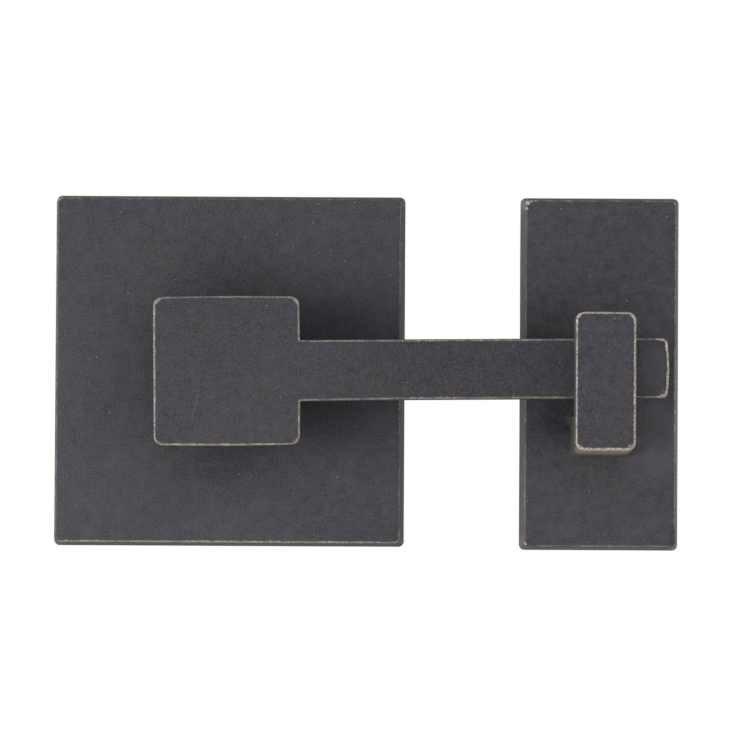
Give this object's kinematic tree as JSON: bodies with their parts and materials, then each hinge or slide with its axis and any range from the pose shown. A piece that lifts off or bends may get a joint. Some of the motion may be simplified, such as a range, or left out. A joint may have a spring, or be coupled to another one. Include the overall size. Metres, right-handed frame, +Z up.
{
  "type": "square latch",
  "caption": "Surface-mounted cabinet latch: a square plate carries a pivoting bar lever that drops into a hooked keeper on a separate strike plate.",
  "frame": {"origin": "on the lever's pivot axis, in the plane of the plates' backs, at the centre of the base plate's four tapped holes", "axes": "+X from the pivot towards the strike, +Z up, +Y into the furniture, so the fronts face -Y"},
  "size_m": [0.0792, 0.0187, 0.0447],
  "materials": {
    "plate_bronze": "dark brown-grey patina on cast bronze, edges worn to a paler tan",
    "lever_bronze": "dark patina on cast bronze, edges worn paler by hands",
    "strike_bronze": "dark patina on cast bronze, rough round the keeper's foot",
    "bush_bronze": "turned bearing bronze",
    "washer_brass": "pressed brass",
    "spring_steel": "oiled dark spring steel",
    "screw_steel": "bright stainless steel"
  },
  "bodies": {
    "root": {"base_plate": "plate_bronze", "pivot_bush": "bush_bronze", "strike": "strike_bronze"},
    "lever": {"lever": "lever_bronze", "disc_spring": "spring_steel", "keyed_washer": "washer_brass", "lock_washer": "spring_steel", "pivot_screw": "screw_steel"}
  },
  "joints": [
    {"name": "lever_pivot", "type": "hinge", "parent": "root", "child": "lever", "pos_m": [0, -0.0065, 0], "axis": [0, -1, 0], "range_deg": [-2.2, 340.8]}
  ]
}
